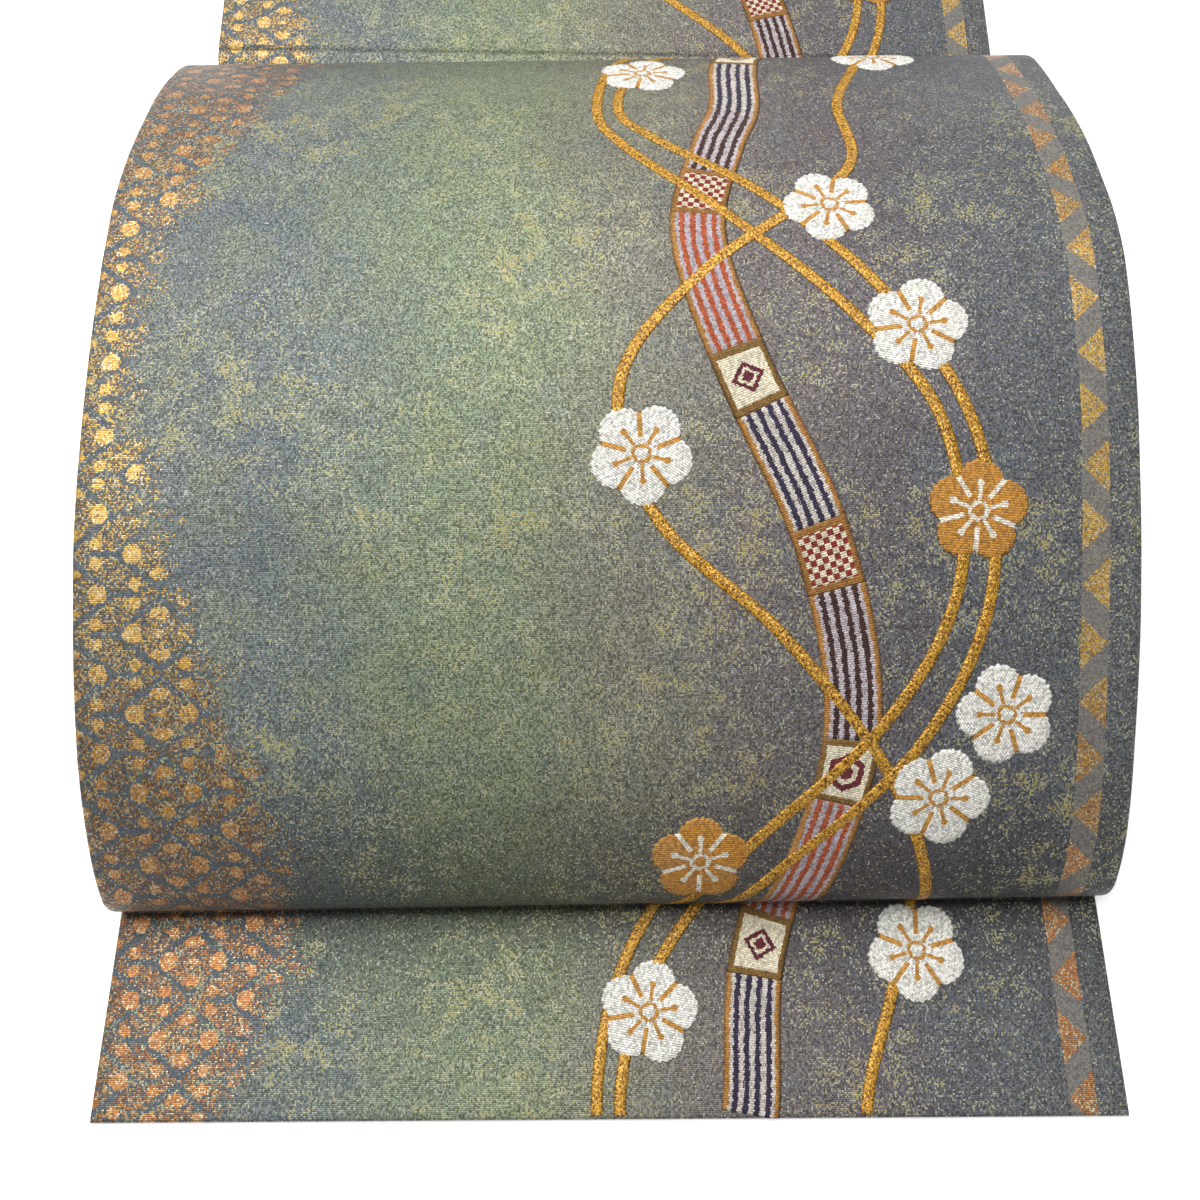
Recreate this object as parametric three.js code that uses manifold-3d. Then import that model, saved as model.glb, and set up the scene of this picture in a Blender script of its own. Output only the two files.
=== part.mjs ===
// Obi sash laid out for viewing: a flat end flap in front, an arched drum behind it,
// a tuck that drops to the surface, and the rest of the sash folded to and fro in a stack.
// The whole sash is one long strip, so every stretch is swept along one path in the YZ plane.
// Units are millimetres and degrees; +X runs across the sash, +Y to the back, +Z up.
import * as THREE from "three";
import { mergeVertices } from "three/addons/utils/BufferGeometryUtils.js";
import Module from "manifold-3d";

const wasm = await Module();
wasm.setup();

const WIDTH = 310; // selvage to selvage
const WALL = 2; // patterned cloth, core and plain reverse, sewn into one band
const SEAM = 0.3; // gap left where two stretches meet
const COLUMNS = 6; // divisions across the width
const FINEST_TURN = 12; // the largest angle that one facet turns through
const LONGEST_FACET = 30;

const FLAP_TIP = { y: -60.2, skew: 2, lift: 0 }; // front end of the sash, flat on the surface

// The path. Each row is an arc: its length and how far it turns (+ is upwards when heading back).
// skew is how much further back the right selvage lies than the left at the row's end,
// and lift is how much higher it lies.
const FLAP = [{ length: 62, turn: 0, skew: 5, lift: 0 }];

const DRUM = [
  { length: 3.2, turn: 105, skew: 5, lift: 0 }, // sharp crease on the surface
  { length: 8, turn: -15, skew: 5, lift: 0 }, // nose that overhangs the crease
  { length: 8, turn: -36, skew: 5, lift: 0 },
  { length: 18, turn: -13, skew: 5, lift: -1 },
  { length: 28, turn: -12, skew: 5, lift: -3 },
  { length: 48, turn: -6, skew: 5.5, lift: -2 }, // long front slope
  { length: 48, turn: -8, skew: 5.5, lift: 2 },
  { length: 50, turn: -12, skew: 6, lift: 4 }, // crown
  { length: 28, turn: -10, skew: 6, lift: 1 },
  { length: 60, turn: -15, skew: 6, lift: -3 }, // back slope
  { length: 28, turn: -6, skew: 6, lift: -1 },
  { length: 12, turn: -16, skew: 5, lift: 0 }, // shoulder that hides the tuck
];

const TUCK = [
  { length: 16, turn: -38, skew: 4, lift: 0 },
  { length: 37.3, turn: -16, skew: 3, lift: 0 }, // drop behind the drum
  { length: 14, turn: 174, skew: 3, lift: 0 }, // valley that touches the surface
  { length: 19.3, turn: -3, skew: 2, lift: -4.5 }, // climb in front of the stack
  { length: 14, turn: -67, skew: 1, lift: -6.6 }, // bend onto the stack
];

const TOP = [
  { length: 60, turn: -5, skew: 0, lift: -7.2 }, // loose swell near the bend
  { length: 80, turn: -3, skew: 0, lift: -7 },
  { length: 100, turn: 0.5, skew: 0, lift: -6.6 },
  { length: 130, turn: 1.5, skew: 0, lift: -6.4 },
  { length: 5, turn: -180, skew: 0, lift: -5.8 }, // fold down into the stack
];

const STACK = {
  pitch: 3.2, // from one layer to the next: the wall and the air above it
  lean: 0.107, // share by which the left edge is thicker, and the right edge thinner
  front: 329, // where the front folds turn
  core: 10, // how far in from every edge the layers run together
  foldFacets: 8,
};

// The hidden layers from the top down. A layer turns into the next one at its fold;
// reach moves that fold outwards, and shift slides the layer to the right.
const LAYERS = [
  { fold: "front", reach: 0, shift: 0.9 },
  { fold: "back", reach: -3, shift: -0.8 },
  { fold: "front", reach: 2, shift: 0.4 },
  { fold: "back", reach: 1.5, shift: 1.2 },
  { fold: "front", reach: 0.5, shift: -1.2 },
  { fold: "back", reach: -1.5, shift: 0.2 },
  { fold: "front", reach: 1.5, shift: 1.1 },
  { fold: "back", reach: 2, shift: -0.5 },
  { fold: "front", reach: -4, shift: 0 }, // the cut end of the sash, on the surface
];

const COLOURS = {
  tare_flap: 0x6b6d6c,
  drum: 0x69706a,
  tuck: 0x656a6c,
  top_layer: 0x6c7273,
  folded_stack: 0x5f6466,
};

// One place on the path: where it is, which way it heads (radians above level), its skew and lift.
function startOfPath() {
  return { y: FLAP_TIP.y, z: WALL / 2, heading: 0, skew: FLAP_TIP.skew, lift: FLAP_TIP.lift };
}

// Walks the rows from a station and returns every station on the way, the first one included.
function walk(rows, start) {
  const stations = [start];
  for (const row of rows) {
    const from = stations.at(-1);
    const facets = Math.max(
      Math.ceil(Math.abs(row.turn) / FINEST_TURN),
      Math.ceil(row.length / LONGEST_FACET),
    );
    const bend = THREE.MathUtils.degToRad(row.turn) / facets;
    // A chord is shorter than its arc by this share, so the path keeps its true reach.
    const chord = (row.length / facets) * (bend ? Math.sin(bend / 2) / (bend / 2) : 1);
    for (let facet = 1; facet <= facets; facet++) {
      const last = stations.at(-1);
      const middle = last.heading + bend / 2;
      stations.push({
        y: last.y + chord * Math.cos(middle),
        z: last.z + chord * Math.sin(middle),
        heading: last.heading + bend,
        skew: THREE.MathUtils.lerp(from.skew, row.skew, facet / facets),
        lift: THREE.MathUtils.lerp(from.lift, row.lift, facet / facets),
      });
    }
  }
  return stations;
}

// Moves a stretch's first and last stations inwards by half a seam.
function trimmed(stations) {
  const ends = stations.map((station) => ({ ...station }));
  const [first, last] = [ends[0], ends.at(-1)];
  first.y += (SEAM / 2) * Math.cos(first.heading);
  first.z += (SEAM / 2) * Math.sin(first.heading);
  last.y -= (SEAM / 2) * Math.cos(last.heading);
  last.z -= (SEAM / 2) * Math.sin(last.heading);
  return ends;
}

// The closed wall of a stretch: an upper and a lower sheet, half a wall out from the path, and rims.
function wallGeometry(stations) {
  const points = [];
  for (const side of [1, -1]) {
    for (const { y, z, heading, skew, lift } of stations) {
      for (let column = 0; column <= COLUMNS; column++) {
        const across = column / COLUMNS - 0.5;
        points.push(
          across * WIDTH,
          y + across * skew - (side * WALL * Math.sin(heading)) / 2,
          z + across * lift + (side * WALL * Math.cos(heading)) / 2,
        );
      }
    }
  }
  const rows = stations.length;
  const upper = (row, column) => row * (COLUMNS + 1) + column;
  const lower = (row, column) => upper(row + rows, column);
  const faces = [];
  const quad = (a, b, c, d) => faces.push(a, b, c, a, c, d);
  for (let row = 0; row < rows - 1; row++) {
    for (let column = 0; column < COLUMNS; column++) {
      const [next, right] = [row + 1, column + 1];
      quad(upper(row, column), upper(row, right), upper(next, right), upper(next, column));
      quad(lower(row, column), lower(next, column), lower(next, right), lower(row, right));
    }
    quad(upper(row, 0), upper(row + 1, 0), lower(row + 1, 0), lower(row, 0));
    quad(upper(row + 1, COLUMNS), upper(row, COLUMNS), lower(row, COLUMNS), lower(row + 1, COLUMNS));
  }
  for (let column = 0; column < COLUMNS; column++) {
    quad(upper(0, column + 1), upper(0, column), lower(0, column), lower(0, column + 1));
    quad(upper(rows - 1, column), upper(rows - 1, column + 1), lower(rows - 1, column + 1), lower(rows - 1, column));
  }
  return new THREE.BufferGeometry()
    .setAttribute("position", new THREE.Float32BufferAttribute(points, 3))
    .setIndex(faces);
}

function solidOf(geometry) {
  geometry.deleteAttribute("normal");
  geometry.deleteAttribute("uv");
  const merged = mergeVertices(geometry, 1e-4);
  const mesh = new wasm.Mesh({
    numProp: 3,
    vertProperties: merged.attributes.position.array,
    triVerts: new Uint32Array(merged.index.array),
  });
  return new wasm.Manifold(mesh);
}

function geometryOf(solid) {
  const { vertProperties, triVerts } = solid.getMesh();
  return new THREE.BufferGeometry()
    .setAttribute("position", new THREE.BufferAttribute(vertProperties, 3))
    .setIndex(new THREE.BufferAttribute(triVerts, 1));
}

// A box between two Y places and two Z heights, as wide as asked, slid to the right by shift.
function slab(low, high, width, shift) {
  const box = new THREE.BoxGeometry(width, high.y - low.y, high.z - low.z);
  return solidOf(box.translate(shift, (low.y + high.y) / 2, (low.z + high.z) / 2));
}

// The half ring of cloth round a fold whose layers lie a pitch apart, bulging to the front or back.
function foldRing(fold, y, z, shift) {
  const [outer, inner] = [(STACK.pitch + WALL) / 2, (STACK.pitch - WALL) / 2];
  const quarter = fold === "back" ? Math.PI / 2 : -Math.PI / 2;
  const ring = new THREE.Shape()
    .absarc(0, 0, outer, -quarter, quarter, false)
    .absarc(0, 0, inner, quarter, -quarter, true);
  const extruded = new THREE.ExtrudeGeometry(ring, {
    depth: WIDTH,
    bevelEnabled: false,
    curveSegments: STACK.foldFacets,
  });
  // The shape's own x and y become Y and Z, and its depth runs along X.
  const turned = new THREE.Matrix4().makeBasis(
    new THREE.Vector3(0, 1, 0),
    new THREE.Vector3(0, 0, 1),
    new THREE.Vector3(1, 0, 0),
  );
  return solidOf(extruded.applyMatrix4(turned).translate(shift - WIDTH / 2, y, z));
}

// The hidden layers as one solid: slabs joined by fold rings and by a core set in from the edges.
function stackGeometry(back) {
  const layers = LAYERS.map((layer, index) => {
    const above = LAYERS[index - 1] ?? { fold: "back", reach: -SEAM };
    const [front, rear] = layer.fold === "front" ? [layer, above] : [above, layer];
    return {
      ...layer,
      z: WALL / 2 + (LAYERS.length - 1 - index) * STACK.pitch,
      low: STACK.front - front.reach,
      high: back + rear.reach,
    };
  });
  const pieces = layers.map(({ z, low, high, shift }) =>
    slab({ y: low, z: z - WALL / 2 }, { y: high, z: z + WALL / 2 }, WIDTH, shift),
  );
  layers.slice(0, -1).forEach(({ fold, z, low, high, shift }, index) => {
    const middle = (shift + layers[index + 1].shift) / 2;
    pieces.push(foldRing(fold, fold === "front" ? low : high, z - STACK.pitch / 2, middle));
  });
  pieces.push(
    slab(
      { y: STACK.front + STACK.core, z: WALL / 2 },
      { y: back - STACK.core, z: layers[0].z },
      WIDTH - 2 * STACK.core,
      0,
    ),
  );
  const leaning = wasm.Manifold.union(pieces).warp((point) => {
    point[2] *= 1 - (STACK.lean * point[0]) / (WIDTH / 2);
  });
  return geometryOf(leaning);
}

function cloth(name, geometry) {
  const material = new THREE.MeshStandardMaterial({
    color: COLOURS[name],
    roughness: 0.75,
    metalness: 0.1,
  });
  const mesh = new THREE.Mesh(geometry, material);
  mesh.name = name;
  return mesh;
}

const sash = new THREE.Group();
let station = startOfPath();
for (const [name, rows] of Object.entries({ tare_flap: FLAP, drum: DRUM, tuck: TUCK, top_layer: TOP })) {
  const stations = walk(rows, station);
  station = stations.at(-1);
  sash.add(cloth(name, wallGeometry(trimmed(stations))));
}
sash.add(cloth("folded_stack", stackGeometry(station.y)));

// The part's origin is the middle of its footprint, on the surface that it rests on.
const bounds = new THREE.Box3().setFromObject(sash);
const middle = bounds.getCenter(new THREE.Vector3());
sash.position.set(-middle.x, -middle.y, -bounds.min.z);

const part = new THREE.Group();
part.add(sash);
export default part;
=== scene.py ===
"""Obi sash laid out for viewing: flap, arched drum, tuck and folded stack, in figured silk.

The whole sash is one band that follows one path in the YZ plane. Every cloth piece and every woven
figure is placed by the same rule, SashForm.place, from its distance across the band (u), its
distance along the band from the flap's tip (v) and its height over the band's middle sheet.
Lengths in this file are millimetres unless a name says otherwise; meshes are in metres.
"""

import logging
import math
from dataclasses import dataclass, field
from enum import Enum
from typing import Callable, Sequence

import bpy
import numpy as np
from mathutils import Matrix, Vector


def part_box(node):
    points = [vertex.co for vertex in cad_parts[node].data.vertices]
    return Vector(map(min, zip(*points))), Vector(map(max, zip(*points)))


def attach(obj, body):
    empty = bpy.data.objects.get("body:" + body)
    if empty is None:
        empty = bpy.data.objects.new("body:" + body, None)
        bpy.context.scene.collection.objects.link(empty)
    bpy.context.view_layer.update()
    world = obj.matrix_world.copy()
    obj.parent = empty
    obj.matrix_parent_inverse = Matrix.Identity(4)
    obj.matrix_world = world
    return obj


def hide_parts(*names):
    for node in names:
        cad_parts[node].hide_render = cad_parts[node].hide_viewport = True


log = logging.getLogger("obi_sash")
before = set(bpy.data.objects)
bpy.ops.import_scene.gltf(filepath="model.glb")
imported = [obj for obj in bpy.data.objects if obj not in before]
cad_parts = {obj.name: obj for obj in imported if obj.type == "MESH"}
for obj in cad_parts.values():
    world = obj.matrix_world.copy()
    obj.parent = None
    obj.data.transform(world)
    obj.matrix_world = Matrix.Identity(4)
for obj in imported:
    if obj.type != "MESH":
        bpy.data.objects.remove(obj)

MM = 0.001
WIDTH = 310.0
WALL = 2.0
SEAM = 0.3  # gap between the plain solids of two neighbouring stretches
CREASE_FROM_TIP = 60.2  # how far back from the flap's tip the crease's own zero lies
HEM = 1.1  # how far from its end a hem starts to round off
HEM_BLUNT = 0.02  # what keeps a hem's last row from closing to a line
REPEAT = 347.0  # length after which the woven pattern comes round again
SELVAGE_TURN = 3.0  # how far the face cloth wraps round to the reverse


# --- The form of the sash ---
@dataclass(frozen=True)
class Arc:
    """A stretch of the path.

    Args:
        length: how far it runs.
        turn: degrees it turns, upwards when heading back.
        skew: how much further back the right selvage lies at its end.
        lift: how much higher the right selvage lies at its end.
        shift: how far the band has slid to the right at its end.
    """

    length: float
    turn: float
    skew: float = 0.0
    lift: float = 0.0
    shift: float = 0.0


FLAP = (Arc(62, 0, 5, 0),)
DRUM = (
    Arc(3.2, 105, 5, 0),
    Arc(8, -15, 5, 0),
    Arc(8, -36, 5, 0),
    Arc(18, -13, 5, -1),
    Arc(28, -12, 5, -3),
    Arc(48, -6, 5.5, -2),
    Arc(48, -8, 5.5, 2),
    Arc(50, -12, 6, 4),
    Arc(28, -10, 6, 1),
    Arc(60, -15, 6, -3),
    Arc(28, -6, 6, -1),
    Arc(12, -16, 5, 0),
)
TUCK = (
    Arc(16, -38, 4, 0),
    Arc(37.3, -16, 3, 0),
    Arc(14, 174, 3, 0),
    Arc(19.3, -3, 2, -4.5),
    Arc(14, -67, 1, -6.6),
)
TOP = (
    Arc(60, -5, 0, -7.2),
    Arc(80, -3, 0, -7),
    Arc(100, 0.5, 0, -6.6),
    Arc(130, 1.5, 0, -6.4),
    Arc(5, -180, 0, -5.8),
)


@dataclass(frozen=True)
class Layer:
    """A hidden layer of the stack: where its fold is, how far out it reaches and its slide."""

    at_front: bool
    reach: float
    shift: float


@dataclass
class Stack:
    """The hidden layers under the top layer, from the top down."""

    pitch: float = 3.2  # from one layer to the next
    lean: float = 0.107  # how far the right selvage drops for each millimetre of height, halved
    front: float = 329.0  # how far behind the crease the front folds lie
    layers: tuple[Layer, ...] = (
        Layer(True, 0, 0.9),
        Layer(False, -3, -0.8),
        Layer(True, 2, 0.4),
        Layer(False, 1.5, 1.2),
        Layer(True, 0.5, -1.2),
        Layer(False, -1.5, 0.2),
        Layer(True, 1.5, 1.1),
        Layer(False, 2, -0.5),
        Layer(True, -4, 0),
    )

    def arcs(self, back: float) -> tuple[Arc, ...]:
        """The stack as arcs that run to and fro.

        Each layer is level and ends at its own fold, which turns half round into the next layer.
        The right selvage lies lower by twice the lean times the layer's height.

        Args:
            back: how far back the first layer starts, measured from the crease.
        """
        rows: list[Arc] = []
        here, count = back, len(self.layers)
        for index, layer in enumerate(self.layers):
            height = WALL / 2 + (count - 1 - index) * self.pitch
            end = self.front - layer.reach if layer.at_front else back + layer.reach
            lift = -2 * self.lean * height
            rows.append(Arc(abs(end - here), 0, 0, lift, layer.shift))
            if index < count - 1:
                lower, after = height - self.pitch, self.layers[index + 1]
                turn = 180 if layer.at_front else -180
                middle = (layer.shift + after.shift) / 2
                rows.append(Arc(math.pi * self.pitch / 2, turn, 0, -2 * self.lean * lower, middle))
            here = end
        return tuple(rows)


class SashForm:
    """The path of the whole sash, and the rule that places any point of the band in space."""

    STEP = 0.25  # spacing of the samples that the path is summed over

    def __init__(self, tip_y: float, stack: Stack) -> None:
        """Sums the path.

        Args:
            tip_y: where the flap's tip lies along Y, at the middle of its width.
            stack: the folded layers that end the sash.
        """
        self.spans: dict[str, tuple[float, float]] = {}
        self.arcs: dict[str, tuple[Arc, ...]] = {}
        self._tables = {k: [v] for k, v in
                        dict(v=0.0, y=tip_y, z=WALL / 2, heading=0.0, skew=2.0, lift=0.0, shift=0.0).items()}
        for name, arcs in (("tare_flap", FLAP), ("drum", DRUM), ("tuck", TUCK), ("top_layer", TOP)):
            self._walk(name, arcs)
        self._walk("folded_stack", stack.arcs(self._tables["y"][-1] - (tip_y + CREASE_FROM_TIP)))
        self._table = {key: np.array(values) for key, values in self._tables.items()}

    def _walk(self, name: str, arcs: tuple[Arc, ...]) -> None:
        """Adds arcs to the path: heading grows evenly, and y and z are the sums of its cosine and sine."""
        table = self._tables
        start = table["v"][-1]
        for arc in arcs:
            count = max(8, math.ceil(arc.length / self.STEP))
            part = np.arange(1, count + 1) / count
            turn = math.radians(arc.turn)
            middle = table["heading"][-1] + turn * (part - 0.5 / count)
            step = arc.length / count
            first = {key: values[-1] for key, values in table.items()}
            table["v"].extend(first["v"] + arc.length * part)
            table["heading"].extend(first["heading"] + turn * part)
            table["y"].extend(first["y"] + np.cumsum(np.cos(middle)) * step)
            table["z"].extend(first["z"] + np.cumsum(np.sin(middle)) * step)
            for key in ("skew", "lift", "shift"):
                table[key].extend(first[key] + (getattr(arc, key) - first[key]) * part)
        self.spans[name] = (start, table["v"][-1])
        self.arcs[name] = arcs

    def stations(self, name: str, spacing: float, finest_turn: float = 6.0) -> np.ndarray:
        """Where the rows of a stretch's mesh go: evenly over each arc, closer where it bends.

        Args:
            name: the stretch.
            spacing: the widest row spacing.
            finest_turn: the most degrees from one row to the next.
        """
        rows = [np.array([self.spans[name][0]])]
        for arc in self.arcs[name]:
            count = max(math.ceil(arc.length / spacing), math.ceil(abs(arc.turn) / finest_turn))
            rows.append(rows[-1][-1] + arc.length * np.arange(1, count + 1) / count)
        return np.concatenate(rows)

    def swell(self, u: np.ndarray, v: np.ndarray) -> np.ndarray:
        """How far the cloth stands off its plain form: long soft waves and a few faint storage creases.

        Each crease is a bell across its line that dies away along it, and both selvages curl a little
        up and down. Nothing moves on the flap or round the crease, and the stack lies flat.
        """
        drum, top = self.spans["drum"], self.spans["top_layer"]
        lively = _window(v, drum[0] + 26, drum[1] - 20, 30) + 0.8 * _window(v, top[0] + 10, top[1] - 30, 30)
        waves = sum(wave.height * np.sin(2 * math.pi * (u / wave.across + v / wave.along) + wave.phase)
                    for wave in WAVES)
        creases = np.zeros_like(u)
        for line in CREASES:
            along = (u - line.u) * math.cos(line.slant) + (v - line.v) * math.sin(line.slant)
            off = (v - line.v) * math.cos(line.slant) - (u - line.u) * math.sin(line.slant)
            creases += line.depth * np.exp(-((off / line.breadth) ** 2) - (along / line.length) ** 4)
        edge = 0.5 * np.exp(-(u / CURL_REACH) ** 2) + 0.5 * np.exp(-((WIDTH - u) / CURL_REACH) ** 2)
        curl = edge * np.sin(2 * math.pi * v / CURL_LENGTH)
        return lively * (waves + creases + curl)

    def place(self, u: np.ndarray, v: np.ndarray, height: np.ndarray) -> np.ndarray:
        """Points in metres for places on the band.

        The point is the path's point at v, moved across by u, by its share of the skew and lift,
        and then along the path's normal by the height and the swell.

        Args:
            u: distance from the left selvage.
            v: distance from the flap's tip.
            height: distance above the band's middle sheet, on the face side.
        Returns:
            An array with one more axis, of length 3.
        """
        u, v, height = np.broadcast_arrays(*(np.asarray(a, float) for a in (u, v, height)))
        y, z, heading, skew, lift, shift = (
            np.interp(v, self._table["v"], self._table[key])
            for key in ("y", "z", "heading", "skew", "lift", "shift")
        )
        across = u / WIDTH - 0.5
        off = height + self.swell(u, v)
        return MM * np.stack(
            [
                across * WIDTH + shift,
                y + across * skew - off * np.sin(heading),
                z + across * lift + off * np.cos(heading),
            ],
            axis=-1,
        )


@dataclass(frozen=True)
class Crease:
    """A soft trough (depth below 0) or ridge of the cloth, centred at u, v and turned by slant."""

    u: float
    v: float
    length: float
    breadth: float
    depth: float
    slant: float


CREASES = (
    Crease(60, 176, 95, 13, -0.55, 0.06),
    Crease(205, 231, 120, 17, 0.6, -0.04),
    Crease(34, 301, 46, 10, -0.8, 0.34),
    Crease(262, 318, 60, 12, -0.6, -0.22),
    Crease(118, 348, 80, 9, 0.4, 0.1),
    Crease(155, 640, 190, 11, -0.7, 0.02),
    Crease(80, 770, 90, 14, 0.6, -0.1),
)


@dataclass(frozen=True)
class Wave:
    """A long soft wave of the cloth: its height, its lengths across and along, and its phase."""

    height: float
    across: float
    along: float
    phase: float


WAVES = (Wave(0.45, 230, 410, 0.0), Wave(0.3, 118, -190, 1.3), Wave(0.22, 71, 96, 0.4))
CURL_REACH = 9  # how far in from a selvage its curl reaches
CURL_LENGTH = 132  # from one rise of a selvage to the next


def _window(values: np.ndarray, low: float, high: float, ease: float) -> np.ndarray:
    """1 between low and high, 0 outside, with smooth steps of the given width at both ends."""
    rise = np.clip((values - low) / ease, 0, 1)
    fall = np.clip((high - values) / ease, 0, 1)
    both = rise * fall
    return both * both * (3 - 2 * both)


# --- Meshes ---
@dataclass
class Skin:
    """Vertices, polygons, flat coordinates and material numbers of a mesh being put together."""

    points: list[np.ndarray] = field(default_factory=list)
    flats: list[np.ndarray] = field(default_factory=list)
    quads: list[np.ndarray] = field(default_factory=list)
    triangles: list[np.ndarray] = field(default_factory=list)
    quad_slots: list[np.ndarray] = field(default_factory=list)
    third_slots: list[np.ndarray] = field(default_factory=list)
    size: int = 0

    def add(self, points: np.ndarray, flat: np.ndarray) -> np.ndarray:
        """Adds points of any grid shape and returns their numbers in the same shape."""
        shape = points.shape[:-1]
        self.points.append(points.reshape(-1, 3))
        self.flats.append(flat.reshape(-1, 2))
        numbers = np.arange(self.size, self.size + int(np.prod(shape))).reshape(shape)
        self.size += numbers.size
        return numbers

    def fill(self, a: np.ndarray, b: np.ndarray, c: np.ndarray, d: np.ndarray, slot: object) -> None:
        """Adds a quad for each set of four corner numbers, with one slot or one slot each."""
        quads = np.stack([a, b, c, d], axis=-1).reshape(-1, 4)
        self.quads.append(quads)
        self.quad_slots.append(np.broadcast_to(slot, a.shape).reshape(-1))

    def fan(self, a: np.ndarray, b: np.ndarray, c: np.ndarray, slot: int) -> None:
        """Adds a triangle for each set of three corner numbers, all with one slot."""
        thirds = np.stack(np.broadcast_arrays(a, b, c), axis=-1).reshape(-1, 3)
        self.triangles.append(thirds)
        self.third_slots.append(np.full(len(thirds), slot))

    def build(self, name: str, finishes: Sequence[bpy.types.Material]) -> bpy.types.Object:
        """Makes the object: one mesh with smooth faces, a map named cloth and the finishes as slots."""
        points = np.concatenate(self.points)
        flats = np.concatenate(self.flats) * MM
        quads, thirds = np.concatenate(self.quads), np.concatenate(self.triangles)
        corners = np.concatenate([quads.reshape(-1), thirds.reshape(-1)])
        sizes = np.concatenate([np.full(len(quads), 4), np.full(len(thirds), 3)])
        mesh = bpy.data.meshes.new(name)
        mesh.vertices.add(len(points))
        mesh.vertices.foreach_set("co", points.astype(np.float32).reshape(-1))
        mesh.loops.add(len(corners))
        mesh.loops.foreach_set("vertex_index", corners.astype(np.int32))
        mesh.polygons.add(len(sizes))
        mesh.polygons.foreach_set("loop_start", (np.cumsum(sizes) - sizes).astype(np.int32))
        mesh.polygons.foreach_set("use_smooth", np.ones(len(sizes), bool))
        slots = np.concatenate([*self.quad_slots, *self.third_slots])
        mesh.polygons.foreach_set("material_index", slots.astype(np.int32))
        mesh.uv_layers.new(name="cloth").data.foreach_set("uv", flats[corners].astype(np.float32).reshape(-1))
        mesh.update(calc_edges=True)
        mesh.validate()
        for finish in finishes:
            mesh.materials.append(finish)
        return put(name, mesh)


def put(name: str, data: bpy.types.ID) -> bpy.types.Object:
    """An object that shows this mesh, light or camera, in the scene."""
    made = bpy.data.objects.new(name, data)
    bpy.context.scene.collection.objects.link(made)
    return made


def sweep(skin: Skin, points: np.ndarray, flat: np.ndarray, slots: object) -> None:
    """Adds a closed skin: rows of a closed outline, joined row to row, with both ends capped.

    The outline starts at its left-most point, runs over the top to its right-most point and back
    underneath, with as many points below as above, so a cap joins each upper point to the lower one
    under it.

    Args:
        skin: what it is added to.
        points: rows by outline points by 3.
        flat: rows by outline points by 2.
        slots: a material number, or one for each outline point.
    """
    numbers = skin.add(points, flat)
    after = np.roll(numbers, -1, axis=1)
    count = numbers.shape[1]
    slot = np.broadcast_to(slots, (count,))[None, :].repeat(len(numbers) - 1, axis=0)
    skin.fill(numbers[:-1], after[:-1], after[1:], numbers[1:], slot)
    half = count // 2
    for row, front in ((numbers[0], True), (numbers[-1], False)):
        upper, lower = row[1:half], row[:half:-1]
        order = (upper[:-1], lower[:-1], lower[1:], upper[1:])
        skin.fill(*(order if front else order[::-1]), int(slot[0, 0]))
        for tip, one, other in ((row[0], upper[0], lower[0]), (row[half], lower[-1], upper[-1])):
            skin.fan(tip, *((other, one) if front else (one, other)), int(slot[0, 0]))


def band_outline(columns: int) -> tuple[np.ndarray, np.ndarray]:
    """The outline across the band: flat above and below, with half-round selvages.

    Args:
        columns: how many faces the flat part has across.
    Returns:
        Distances across, and heights over the middle sheet.
    """
    radius = WALL / 2
    angles = np.radians([180, 150, 120])
    left_u, left_h = radius + radius * np.cos(angles), radius * np.sin(angles)
    flat_u = np.linspace(radius, WIDTH - radius, columns + 1)
    upper_u = np.concatenate([left_u, flat_u, WIDTH - left_u[:0:-1]])
    upper_h = np.concatenate([left_h, np.full(columns + 1, radius), left_h[:0:-1]])
    across = np.concatenate([upper_u, [WIDTH], upper_u[:0:-1]])
    height = np.concatenate([upper_h, [0.0], -upper_h[:0:-1]])
    return across, height


# --- Finishes ---
def srgb(red: int, green: int, blue: int) -> tuple[float, float, float, float]:
    """A colour as seen, 0 to 255, turned into the linear values that a shader takes."""
    channels = [c / 255 for c in (red, green, blue)]
    return (*(c / 12.92 if c <= 0.04045 else ((c + 0.055) / 1.055) ** 2.4 for c in channels), 1.0)


def _math_method(kind: str) -> Callable[..., "Field"]:
    """A method of Field: a Math node of this kind, with the field as its first input."""

    def method(self: "Field", *others: object) -> "Field":
        """The node's result."""
        return self.sheet.math(kind, self, *others)

    return method


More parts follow.
